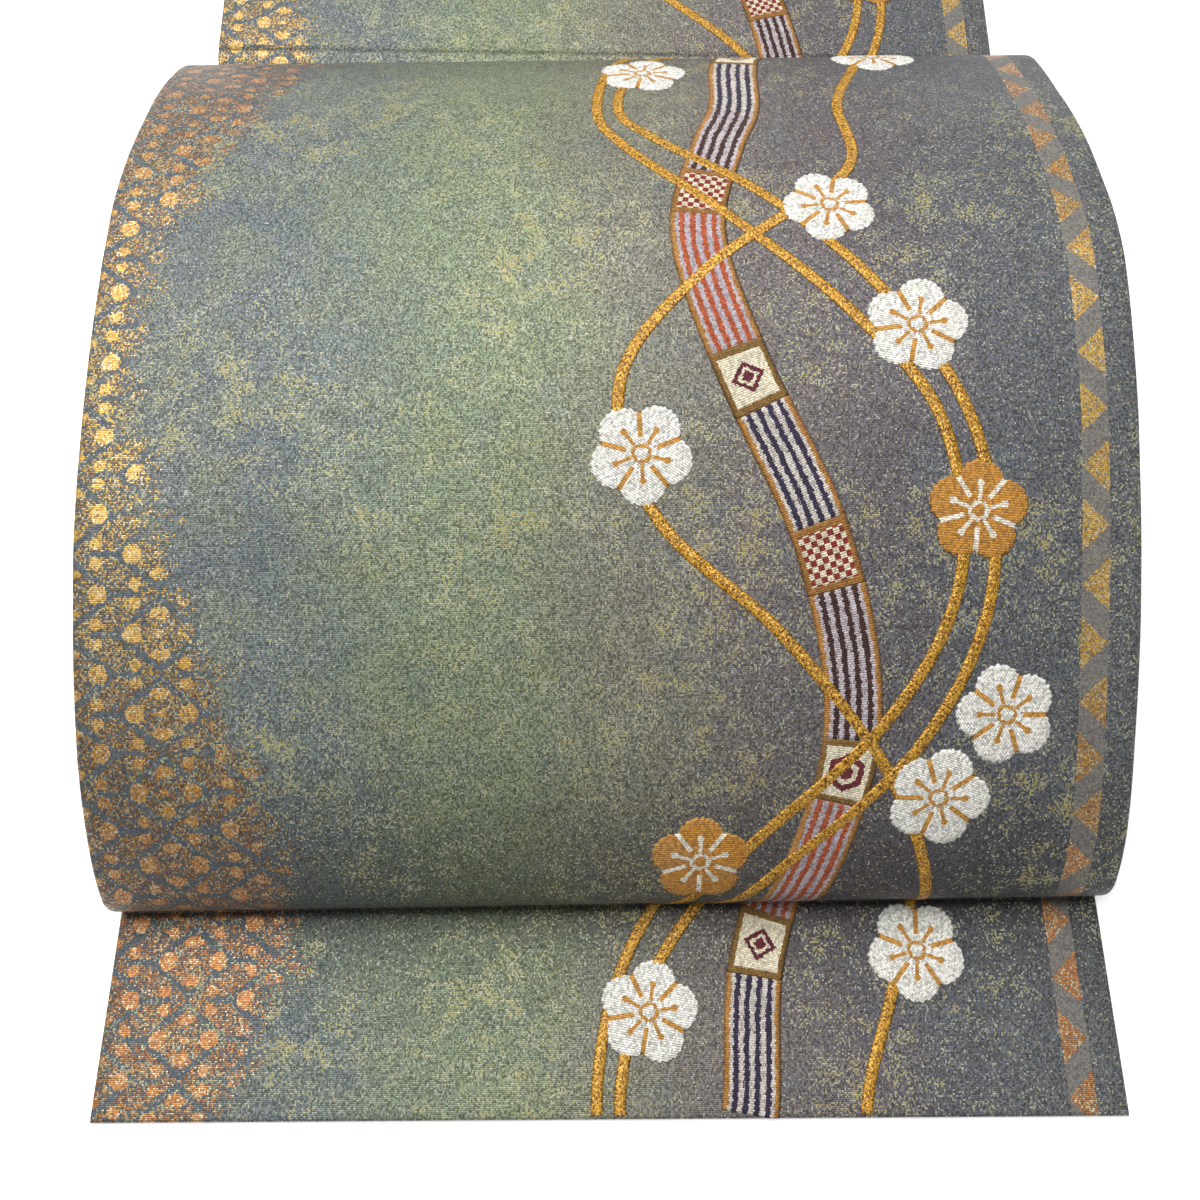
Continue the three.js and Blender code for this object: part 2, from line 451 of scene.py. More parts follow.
class Field:
    """A number that varies over the cloth. Sums and products of fields make Math nodes.

    A comparison gives 1 where it holds and 0 elsewhere. least and most are the smaller and the larger
    of two, and fold runs up to its reach and back down again.
    """

    __add__ = __radd__ = _math_method("ADD")
    __sub__ = _math_method("SUBTRACT")
    __mul__ = __rmul__ = _math_method("MULTIPLY")
    __lt__ = _math_method("LESS_THAN")
    __gt__ = _math_method("GREATER_THAN")
    __abs__ = _math_method("ABSOLUTE")
    least = _math_method("MINIMUM")
    most = _math_method("MAXIMUM")
    fold = _math_method("PINGPONG")

    def __init__(self, sheet: "PatternSheet", socket: bpy.types.NodeSocket) -> None:
        """Wraps a node's output."""
        self.sheet = sheet
        self.socket = socket

    def __rsub__(self, other: float) -> "Field":
        """The difference, number first."""
        return self.sheet.math("SUBTRACT", other, self)

    def wrap(self, period: float) -> "Field":
        """What is left over after whole periods, from 0 up to the period."""
        return self.sheet.math("WRAP", self, period, 0.0)

    def step(self, size: float) -> "Field":
        """The middle of the cell of this size that the value falls in."""
        return self.sheet.math("SNAP", self, size) + size / 2

    def sine(self, period: float, phase: float = 0.0) -> "Field":
        """A sine wave of the given period."""
        return self.sheet.math("SINE", self * (2 * math.pi / period) + phase)

    def clear(self) -> "Field":
        """Held between 0 and 1."""
        node = self.sheet.node("ShaderNodeClamp")
        self.sheet.join(self, node.inputs["Value"])
        return Field(self.sheet, node.outputs[0])


@dataclass(frozen=True)
class Gloss:
    """How a finish answers light: constants that go straight onto the shader's own sockets."""

    sheen: float = 0.0
    sheen_roughness: float = 0.4
    specular: float = 0.4


class PatternSheet:
    """A material under construction, with the shader, the flat coordinates and helpers for patterns."""

    def __init__(self, name: str, gloss: Gloss) -> None:
        """Starts a material.

        Args:
            name: what the material is called.
            gloss: its constants.
        """
        self.material = bpy.data.materials.new(name)
        self.material.use_nodes = True
        self.tree = self.material.node_tree
        self.shader = self.tree.nodes["Principled BSDF"]
        self.shader.inputs["Sheen Weight"].default_value = gloss.sheen
        self.shader.inputs["Sheen Roughness"].default_value = gloss.sheen_roughness
        self.shader.inputs["Specular IOR Level"].default_value = gloss.specular

    def node(self, kind: str, **settings: object) -> bpy.types.Node:
        """A new node with these settings."""
        made = self.tree.nodes.new(kind)
        for key, value in settings.items():
            setattr(made, key, value)
        return made

    def join(self, value: object, socket: bpy.types.NodeSocket) -> None:
        """Feeds a field, a socket, a colour or a number into a node's input."""
        if isinstance(value, Field):
            self.tree.links.new(value.socket, socket)
        elif isinstance(value, bpy.types.NodeSocket):
            self.tree.links.new(value, socket)
        else:
            socket.default_value = value

    def math(self, kind: str, *values: object) -> Field:
        """A Math node of this kind over the values."""
        made = self.node("ShaderNodeMath", operation=kind)
        for value, socket in zip(values, made.inputs):
            self.join(value, socket)
        return Field(self, made.outputs[0])

    def flat(self) -> tuple[Field, Field]:
        """The two distances of the piece's own map named cloth, in millimetres."""
        source = self.node("ShaderNodeUVMap", uv_map="cloth")
        parts = self.node("ShaderNodeSeparateXYZ")
        self.join(source.outputs[0], parts.inputs[0])
        return Field(self, parts.outputs[0]) * (1 / MM), Field(self, parts.outputs[1]) * (1 / MM)

    def vector(self, x: object, y: object, z: object = 0.0) -> bpy.types.NodeSocket:
        """Three numbers as one vector."""
        made = self.node("ShaderNodeCombineXYZ")
        for value, socket in zip((x, y, z), made.inputs):
            self.join(value, socket)
        return made.outputs[0]

    def grains(self, x: Field, y: Field, seed: float = 0.0) -> tuple[Field, Field, Field]:
        """Three even random numbers from 0 to 1, the same all over a cell whose x and y are steady."""
        made = self.node("ShaderNodeTexWhiteNoise", noise_dimensions="3D")
        self.join(self.vector(x, y, seed), made.inputs["Vector"])
        parts = self.node("ShaderNodeSeparateColor")
        self.join(made.outputs["Color"], parts.inputs[0])
        return tuple(Field(self, out) for out in parts.outputs[:3])

    def cloud(self, x: Field, y: Field, size: float, detail: float = 3.0, seed: float = 0.0) -> Field:
        """Cloudy noise about 0.5, with lumps of the given size."""
        made = self.node("ShaderNodeTexNoise", noise_dimensions="3D")
        self.join(self.vector(x * (1 / size), y * (1 / size), seed), made.inputs["Vector"])
        made.inputs["Scale"].default_value = 1.0
        made.inputs["Detail"].default_value = detail
        return Field(self, made.outputs[0])

    def ellipse(self, at: bpy.types.NodeSocket, centre: Sequence[float], radii: Sequence[float]) -> Field:
        """Distance from an ellipse's centre in units of its radii, so it is 1 on its rim."""
        moved = self.node("ShaderNodeVectorMath", operation="MULTIPLY_ADD")
        self.join(at, moved.inputs[0])
        moved.inputs[1].default_value = (1 / radii[0], 1 / radii[1], 0)
        moved.inputs[2].default_value = (-centre[0] / radii[0], -centre[1] / radii[1], 0)
        made = self.node("ShaderNodeVectorMath", operation="LENGTH")
        self.join(moved.outputs[0], made.inputs[0])
        return Field(self, made.outputs["Value"])

    def ramp(self, at: Field, stops: Sequence[tuple[float, tuple]]) -> bpy.types.NodeSocket:
        """A colour that runs through the stops as the field goes from 0 to 1."""
        made = self.node("ShaderNodeValToRGB")
        elements = made.color_ramp.elements
        while len(elements) < len(stops):
            elements.new(1.0)
        for element, (place, colour) in zip(elements, stops):
            element.position = place
            element.color = colour
        self.join(at, made.inputs[0])
        return made.outputs[0]

    def mix(self, share: object, under: object, over: object) -> bpy.types.NodeSocket:
        """under where share is 0, over where it is 1."""
        made = self.node("ShaderNodeMix", data_type="RGBA")
        self.join(share, made.inputs[0])
        self.join(under, made.inputs[6])
        self.join(over, made.inputs[7])
        return made.outputs[2]

    def scale(self, colour: object, amount: Field) -> bpy.types.NodeSocket:
        """A colour made lighter or darker by an amount about 1."""
        made = self.node("ShaderNodeVectorMath", operation="SCALE")
        self.join(colour[:3] if isinstance(colour, tuple) else colour, made.inputs[0])
        self.join(amount, made.inputs["Scale"])
        return made.outputs[0]

    def finish(self, colour: object, rough: object, metal: object = 0.0,
               relief: Field | None = None, depth: float = 0.1) -> bpy.types.Material:
        """Wires the shader and returns the material.

        Args:
            colour: base colour.
            rough: roughness.
            metal: how metallic.
            relief: height of the threads, 0 to 1.
            depth: what a height of 1 stands for.
        """
        self.join(colour, self.shader.inputs["Base Color"])
        self.join(rough, self.shader.inputs["Roughness"])
        self.join(metal, self.shader.inputs["Metallic"])
        if relief is not None:
            bump = self.node("ShaderNodeBump")
            bump.inputs["Strength"].default_value = 1.0
            bump.inputs["Distance"].default_value = depth * MM
            self.join(relief, bump.inputs["Height"])
            self.join(bump.outputs[0], self.shader.inputs["Normal"])
        return self.material


@dataclass(frozen=True)
class Spot:
    """An ellipse of the floret lattice, in its folded quarter cell."""

    x: float
    y: float
    rx: float
    ry: float


@dataclass(frozen=True)
class FaceCloth:
    """The patterned face: shaded ground, woven flecks, floret lattice and triangle border, with a painted
    shade band and a painted sheen on the gold yarn.
    """

    tone: float = 0.93  # lightens or darkens the whole face
    thread: float = 0.45  # one cell of the weave, across
    rib: float = 0.54  # one cell of the weave, along
    lattice_x: float = 25.5  # half the lattice's repeat across
    lattice_y: float = 11.7  # half its repeat along
    lattice_start: float = 25.0  # where across the band a row of florets lies
    floret: tuple[float, float] = (11.4, 9.6)  # reach of a floret's bare outline, across and along
    lattice_reach: float = 40.0  # how far from the left selvage the lattice gets on average
    lattice_swing: float = 21.0  # how much further and less far it gets along the sash
    lattice_torn: float = 30.0  # how ragged its limit is
    widest_at: float = 78.0  # where along the sash the lattice is widest
    solid: tuple[Spot, ...] = (
        Spot(7.8, 0, 2.7, 2.9),
        Spot(0, 6.0, 2.8, 1.7),
        Spot(0, 0, 1.6, 1.0),
        Spot(7.2, 8.9, 1.8, 1.7),
    )
    bare: tuple[Spot, ...] = (Spot(10.5, 11.7, 5.5, 0.9),)
    triangle_pitch: float = 17.0
    triangle_half: float = 7.7  # half a triangle's base
    triangle_start: float = 4.0  # what shifts the row of triangles along the sash
    painted_shade_centre: float = 74.0  # where along the sash the painted shade is darkest: over the flap by the crease and the foot of the drum
    painted_shade_reach: float = 58.0  # how far the painted shade spreads to either side
    painted_shade_share: float = 0.44  # how much darker the painted shade makes the ground
    strip: tuple[float, float] = (9.5, 17.5)  # the border strip, from the right selvage
    ground: tuple[tuple[float, tuple[int, int, int]], ...] = (
        (0.0, (106, 112, 112)),
        (0.15, (98, 110, 115)),
        (0.24, (104, 118, 112)),
        (0.33, (118, 134, 104)),
        (0.42, (122, 136, 104)),
        (0.50, (124, 124, 106)),
        (0.62, (110, 102, 100)),
        (0.76, (95, 87, 93)),
        (0.88, (88, 91, 98)),
        (1.0, (92, 95, 98)),
    )

    def make(self) -> bpy.types.Material:
        """Builds the material."""
        s = PatternSheet("figured_silk", Gloss(sheen=0.12, sheen_roughness=0.45, specular=0.25))
        u, v = s.flat()
        cell_u, cell_v = u.step(self.thread), v.step(self.rib)
        chance, shade, hue = s.grains(cell_u, cell_v)
        gold, lattice, solid = self._lattice(s, cell_u, cell_v, chance)
        triangle, strip = self._border(s, cell_u, cell_v, chance)
        ground, fleck = self._ground(s, cell_u, cell_v, shade, hue, lattice, strip)
        metal = gold.most(triangle)
        # painted sheen: the gold yarn runs from rust to bright gold and back once each repeat, brightest
        # about the middle of the drum, rust on the flap and at the drum's far end; each cell's random tone
        # adds to it
        painted_sheen_and_grain = (cell_v.sine(REPEAT, -2.3) * 0.5 + 0.5 + (shade - 0.5) * 0.5).clear()
        yarn_with_painted_sheen = s.mix(painted_sheen_and_grain, srgb(168, 112, 70), srgb(190, 156, 82))
        creamed = s.mix(hue > 0.84, yarn_with_painted_sheen, srgb(190, 178, 146))
        clean = solid.most(triangle)
        speckled = s.mix((hue < 0.34) * (1.0 - clean * 0.8), creamed, srgb(118, 96, 80))
        colour = s.mix(metal, ground, s.scale(speckled, 0.42 + clean * 0.32 + shade * 0.72))
        # painted shade: the colour darkens toward the hollow between two ribs of the weave
        hollow = (v.wrap(self.rib) * (1 / self.rib) - 0.5) * 2
        ridge = 1.0 - hollow * hollow
        shaded = s.scale(colour, self.tone * (0.74 + ridge * 0.36))
        relief = ridge * 0.6 + shade * 0.4
        return s.finish(shaded, 0.5 - metal * 0.1 - fleck * 0.04, metal * 0.3 + 0.2, relief, 0.08)

    def _ground(self, s: PatternSheet, u: Field, v: Field, shade: Field, hue: Field,
                lattice: Field, strip: Field) -> tuple[bpy.types.NodeSocket, Field]:
        """The ground colour: shaded across the width, cloudy, with flecks of cream, gold, rose and leaf, and
        darkened by painted shade in a band across it, over the flap by the crease and the foot of the drum,
        once each repeat.

        A cell is a fleck where its random number is below the clouds' thickness there.

        Returns:
            The colour, and 1 on flecks.
        """
        drift = s.cloud(u, v, 70, 2.0, 3.0)
        place = (u * (1 / WIDTH) + (drift - 0.5) * 0.16).clear()
        base = s.ramp(place, [(at, srgb(*colour)) for at, colour in self.ground])
        wash = s.cloud(u, v, 16, 4.0, 11.0)
        leftward = ((190.0 - u) * (1 / 60)).clear()
        leaf = s.mix((wash * 3.0 - 1.2).clear() * leftward, base, s.mix(0.5, base, srgb(134, 142, 98)))
        bluish = (s.cloud(u, v, 12, 3.0, 27.0) * 3.4 - 1.6).clear()
        tinted = s.mix(bluish * 0.6, leaf, s.mix(0.6, leaf, srgb(92, 110, 116)))
        broad = s.cloud(u, v, 52, 3.0, 21.0)
        close = s.cloud(u, v, 8, 4.0, 31.0)
        thick = (broad * 3.6 - 1.5).clear() * (close * 4.4 - 1.9).clear()
        chance, second, tint = s.grains(u, v, 7.0)
        fleck = (chance < (thick * 0.68 + 0.035)) * (1.0 - strip * 0.7)
        kinds = s.ramp((second * 0.5 + thick * 0.4 + s.cloud(u, v, 22, 2.0, 41.0) * 0.5 - 0.22).clear(), [
            (0.0, srgb(160, 168, 160)),
            (0.3, srgb(178, 176, 154)),
            (0.5, srgb(170, 164, 104)),
            (0.72, srgb(168, 154, 98)),
            (1.0, srgb(154, 130, 108)),
        ])
        thread = s.mix(tint * 0.5, tinted, s.mix(hue, srgb(92, 102, 118), srgb(146, 132, 108)))
        # painted shade: the ground darkens in a band across it, over the flap by the crease and the foot of
        # the drum, once each repeat; each cell's random tone goes in too
        turn = ((v + (REPEAT / 2 - self.painted_shade_centre)).wrap(REPEAT) - REPEAT / 2) * (1 / self.painted_shade_reach)
        band = (1.0 - turn * turn).clear()
        toned_threads = s.scale(thread, (0.36 + shade * 1.1) * (1.0 - band * band * self.painted_shade_share))
        strip_tone = s.mix(strip * 0.65, toned_threads, s.scale(srgb(134, 128, 120), 0.6 + hue * 0.7))
        deep = s.mix(lattice * 0.75, strip_tone, s.scale(srgb(84, 92, 100), 0.65 + shade * 0.6))
        return s.mix(fleck * (0.5 + hue * 0.5), deep, kinds), fleck

    def _lattice(self, s: PatternSheet, u: Field, v: Field, chance: Field) -> tuple[Field, Field, Field]:
        """The gold floret lattice down the left side.

        The plane is folded into a quarter cell with a floret at one corner and, half a drop on, the
        same floret at the far corner. A cell of the weave is gold for certain inside a spot, never in
        the bare line round a floret, and half the time elsewhere. Everything thins out beyond a reach
        that swings along the sash.

        Returns:
            1 on gold cells, how much the lattice's own darker ground shows, and 1 in solid spots.
        """
        x = (u - self.lattice_start).fold(self.lattice_x)
        y = v.fold(self.lattice_y)
        near = s.vector(x, y)
        far = s.vector(self.lattice_x - x, self.lattice_y - y)

        def closest(spots: Sequence[Spot]) -> Field:
            """Distance to the closest of the spots, as drawn from both corners."""
            found: Field | None = None
            for spot in spots:
                for at in (near, far):
                    reach = s.ellipse(at, (spot.x, spot.y), (spot.rx, spot.ry))
                    found = reach if found is None else found.least(reach)
            return found

        rough = s.cloud(u, v, 2.2, 1.0, 51.0) - 0.5
        solid = (closest(self.solid) + rough * 0.5) < 1.0
        wide, tall = self.floret
        rim_near = abs(x * (1 / wide) + y * (1 / tall) - 1.08)
        rim_far = abs((self.lattice_x - x) * (1 / wide) + (self.lattice_y - y) * (1 / tall) - 1.08)
        line = ((rim_near.least(rim_far) + rough * 0.12) < 0.125).most(closest(self.bare) < 1.0)
        swing = v.sine(REPEAT, math.pi / 2 - 2 * math.pi * self.widest_at / REPEAT)
        torn = s.cloud(u, v, 13, 2.0, 61.0) - 0.5
        reach = swing * self.lattice_swing + self.lattice_reach + torn * self.lattice_torn - u
        inside = (reach * 0.09).clear()
        share = (solid * 0.97).most((1.0 - line) * 0.6) * inside
        return chance < share, inside, solid * inside

    def _border(self, s: PatternSheet, u: Field, v: Field, chance: Field) -> tuple[Field, Field]:
        """The strip down the right side with its row of triangles.

        Along the strip each triangle's half width falls evenly from its base to its tip, and every
        second triangle faces the other way.

        Returns:
            1 on gold cells, and 1 on the strip.
        """
        low, high = self.strip
        inward = (WIDTH - u - low) * (1 / (high - low))
        strip = (inward > 0.0) * (inward < 1.0)
        start = self.triangle_start
        along = (v + start).wrap(self.triangle_pitch) - self.triangle_pitch / 2
        turned = (v + start).wrap(2 * self.triangle_pitch) > self.triangle_pitch
        width = inward + turned * (1.0 - inward * 2.0)
        share = ((abs(along) - (1.0 - width) * self.triangle_half) < 0.0) * strip
        return share * (chance < 0.86), strip


@dataclass(frozen=True)
class ReverseCloth:
    """The plain reverse: a dark even twill."""

    def make(self) -> bpy.types.Material:
        """Builds the material: slanting ridges every 0.8 mm across, uneven from thread to thread, with
        painted shade that darkens the colour between the ridges.
        """
        s = PatternSheet("plain_reverse", Gloss(sheen=0.1, specular=0.25))
        u, v = s.flat()
        ridge = (u + v).sine(0.8) * 0.5 + 0.5
        shade, _, _ = s.grains(u.step(0.5), v.step(0.5), 3.0)
        mottle = s.cloud(u, v, 30, 3.0, 5.0)
        tone = s.mix(mottle, srgb(66, 68, 74), srgb(88, 88, 90))
        # painted shade: the colour darkens between the twill ridges; shade adds random tone
        return s.finish(s.scale(tone, 0.72 + ridge * 0.25 + shade * 0.28), 0.6, 0.0, ridge, 0.08)


def thread_relief(s: PatternSheet, colour: object, across: Field, along: Field, shade: Field,
                  rough: float) -> bpy.types.Material:
    """Finishes a woven figure: short raised stitches in staggered rows, each a little different, with painted
    shade that darkens the colour between the stitches.

    Args:
        s: the material under construction.
        colour: the figure's colour.
        across: distance across the figure's threads.
        along: distance along them.
        shade: a random number for each thread.
        rough: how matt the threads are.
    """
    pitch, length = 0.7, 1.9  # from row to row, and from stitch to stitch along a row
    row = abs(across.wrap(pitch) * (2 / pitch) - 1.0)
    stitch = (along + across.step(pitch) * length).wrap(length) * (2 / length) - 1.0
    ridge = (1.0 - row * row) * (1.0 - stitch * stitch * stitch * stitch * 0.6)
    # painted shade: the colour darkens where the ridge is low, between stitches; shade adds random tone
    return s.finish(s.scale(colour, 0.36 + ridge * 0.34 + shade * 0.56), rough, 0.0, ridge, 0.16)


class Motif(Enum):
    """What a length of the ribbon is woven with."""

    STRIPES = "stripes"
    LOZENGE = "lozenge"
    HEXAGON = "hexagon"
    CHECK = "check"


@dataclass(frozen=True)
class RibbonCloth:
    """A length of the ribbon: ochre edges, and stripes along it or a framed block."""

    name: str
    motif: Motif
    light: tuple[int, int, int]
    dark: tuple[int, int, int]
    edge: tuple[int, int, int] = (172, 122, 62)
    half_width: float = 8.75
    block: float = 9.5  # half a block's length
    square: float = 1.8  # side of a small square of the check

    def make(self) -> bpy.types.Material:
        """Builds the material from the distance across (x) and from the length's middle (y)."""
        s = PatternSheet(self.name, Gloss(sheen=0.1, specular=0.25))
        x, y = s.flat()
        shade, tint, _ = s.grains(x.step(0.6), y.step(0.7), 9.0)
        ragged = (tint - 0.5) * (0.7 if self.motif is Motif.STRIPES else 0.4)
        wide, tall = abs(x) + ragged, abs(y) + ragged
        if self.motif is Motif.STRIPES:
            share = self._stripes(wide)
            rim = wide > self.half_width - 1.9
        else:
            share = self._block(x, y, wide, tall)
            rim = (wide > self.half_width - 2.0).most(tall > self.block - 1.8)
        inner = s.mix(share, srgb(*self.light), srgb(*self.dark))
        return thread_relief(s, s.mix(rim, inner, srgb(*self.edge)), y, x, shade, 0.66)

    def _stripes(self, wide: Field) -> Field:
        """Dark between pale lines 1.6 mm wide and 3.3 mm apart."""
        return (wide + 0.8).wrap(3.3) > 1.6

    def _block(self, x: Field, y: Field, wide: Field, tall: Field) -> Field:
        """1 where the block's motif is dark: a ring round a solid middle, or every other small square."""
        if self.motif is Motif.CHECK:
            odd_x, odd_y = ((at + 5 * self.square).wrap(2 * self.square) > self.square for at in (x, y))
            return x.sheet.math("COMPARE", odd_x, odd_y, 0.1)
        if self.motif is Motif.LOZENGE:
            size = wide + tall
        else:
            size = wide.most(wide * 0.5 + tall * 0.87)
        ring = (size > 3.4) * (size < 5.2)
        return ring.most(size < 2.1)


@dataclass(frozen=True)
class CordThread:
    """Gilt thread laid in slanting turns, with brown between the turns."""

    def make(self) -> bpy.types.Material:
        """Builds the material: slanting turns 1.7 mm apart, brown in the low places."""
        s = PatternSheet("gilt_cord", Gloss(specular=0.45))
        x, y = s.flat()
        shade, tint, dark = s.grains(x.step(0.42), y.step(0.5), 13.0)
        turn = (y + abs(x) * 0.6 + (tint - 0.5) * 1.3).sine(1.7) * 0.5 + 0.5
        gold = s.mix(tint * 0.7, srgb(206, 146, 34), srgb(232, 188, 88))
        low = ((1.0 - turn) * 0.7 + dark * 0.75 - 0.72) * 2.2
        colour = s.mix(low.clear(), gold, srgb(112, 70, 26))
        return s.finish(s.scale(colour, 0.5 + shade * 0.72), 0.42, 0.25, turn, 0.2)


@dataclass(frozen=True)
class BlossomCloth:
    """A five-petal blossom, drawn from the distance to its centre and the angle round it.

    Args:
        name: what the material is called.
        petal: colour of the petals.
        grain: colour of the duller threads among them.
        line: colour of the gaps, the ring and the stamens.
        gap: half the gap between two petals.
    """

    name: str
    petal: tuple[int, int, int]
    grain: tuple[int, int, int]
    line: tuple[int, int, int]
    gap: float

    def make(self) -> bpy.types.Material:
        """Builds the material.

        The angle is folded at every tenth of a turn, so 0 is the middle of a petal. A gap lies where
        the arc left to the next petal is short, and a stamen where the arc from the middle is short.
        """
        s = PatternSheet(self.name, Gloss(sheen=0.15, specular=0.3))
        x, y = s.flat()
        shade, tint, _ = s.grains(x.step(0.6), y.step(0.7), 17.0)
        far = s.math("SQRT", x * x + y * y) + (tint - 0.5) * 0.8
        angle = (s.math("ARCTAN2", x, y) + 2 * math.pi).fold(math.pi / 5)
        gap = ((math.pi / 5 - angle) * far < self.gap) * (far > 4.6)
        stamen = (angle * far < 0.55) * (far > 3.2) * (far < 7.2)
        anther = s.math("SQRT", (far - 8.0) * (far - 8.0) + angle * far * angle * far) < 1.05
        ring = (far > 1.9) * (far < 3.0)
        drawn = gap.most(stamen).most(anther).most(ring)
        toned_threads = s.mix((tint > 0.8) * 0.5, srgb(*self.petal), srgb(*self.grain))
        return thread_relief(s, s.mix(drawn, toned_threads, srgb(*self.line)), y, x, shade, 0.6)


# --- Sub-assemblies ---
class Held(Enum):
    """How a sheet of cloth is held."""

    LAID = "laid"
    DRAPED = "draped"
    FOLDED = "folded"


@dataclass
class ClothStretch:
    """One stretch of the band as a closed skin."""

    node: str
    form: SashForm
    held: Held
    rests_on: tuple[str, ...]
    columns: int = 84
    spacing: float = 3.0
    hemmed_start: bool = False
    hemmed_end: bool = False

    def build(self, face: bpy.types.Material, reverse: bpy.types.Material,
              figures: Sequence[bpy.types.Object] = ()) -> bpy.types.Object:
        """The outline across the band is carried along the path. At a hem its heights shrink along a
        quarter circle, so the end is rounded.
        """
        across, height = band_outline(self.columns)
        rows = self._rows()
        low, high = self.form.spans[self.node]
        plump = np.ones_like(rows)
        for hemmed, inward in ((self.hemmed_start, rows - low), (self.hemmed_end, high - rows)):
            if hemmed:
                plump *= np.sqrt(1 - np.clip(1 - (inward + HEM_BLUNT) / HEM, 0, 1) ** 2)
        grid_v, grid_u = np.meshgrid(rows, across, indexing="ij")
        points = self.form.place(grid_u, grid_v, height[None, :] * plump[:, None])
        under = (height < 0) & (across > SELVAGE_TURN) & (across < WIDTH - SELVAGE_TURN)
        skin = Skin()
        sweep(skin, points, np.stack([grid_u, grid_v], axis=-1), under.astype(int))
        piece = skin.build(self.node + "_cloth", [face, reverse])
        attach(piece, "root")
        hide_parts(self.node)
        log.info("%s: %d faces", piece.name, len(piece.data.polygons))
        return piece

    def _rows(self) -> np.ndarray:
        """The stations of the mesh rows, with extra ones close to a hem."""
        rows = self.form.stations(self.node, self.spacing)
        low, high = self.form.spans[self.node]
        near = np.array([0.12, 0.35, 0.7, HEM])
        extra = [low + near] * self.hemmed_start + [high - near] * self.hemmed_end
        return np.unique(np.concatenate([rows, *extra]))


@dataclass(frozen=True)
class Route:
    """A woven line's way over one repeat of the pattern, which carries on into the next repeat.

    Args:
        points: places (across, along), given from first to last.
    """

    points: tuple[tuple[float, float], ...]

    def trace(self, low: float, high: float, spacing: float) -> tuple[np.ndarray, ...]:
        """A smooth curve through the points, cut to a stretch of the band.

        Between two points the curve is the cubic that leaves each in the direction of its neighbours.

        Args:
            low: where the stretch starts along the band.
            high: where it ends.
            spacing: distance between places on the curve.
        Returns:
            Places across and along, unit directions across and along, and the distance run.
        """
        one = np.array(self.points)
        knots = np.concatenate([one + (0, REPEAT * turn) for turn in range(-1, 4)])
        before, here, after, beyond = (knots[k:len(knots) - 3 + k, None] for k in range(4))
        t = np.linspace(0, 1, 60, endpoint=False)[None, :, None]
        curve = 0.5 * (2 * here + (after - before) * t + (2 * before - 5 * here + 4 * after - beyond) * t**2
                       + (3 * here - before - 3 * after + beyond) * t**3)
        curve = curve.reshape(-1, 2)
        run = np.concatenate([[0], np.cumsum(np.hypot(*np.diff(curve, axis=0).T))])
        ends = np.interp((low, high), curve[:, 1], run)
        at = np.linspace(*ends, max(2, math.ceil((ends[1] - ends[0]) / spacing)) + 1)
        u, v = np.interp(at, run, curve[:, 0]), np.interp(at, run, curve[:, 1])
        du = np.interp(at + 1, run, curve[:, 0]) - np.interp(at - 1, run, curve[:, 0])
        dv = np.interp(at + 1, run, curve[:, 1]) - np.interp(at - 1, run, curve[:, 1])
        size = np.hypot(du, dv)
        return u, v, du / size, dv / size, at


@dataclass(frozen=True)
class Blossom:
    """A blossom of the pattern: its place, size, turn in degrees, and whether it is pale."""

    u: float
    v: float
    radius: float
    turn: float
    pale: bool


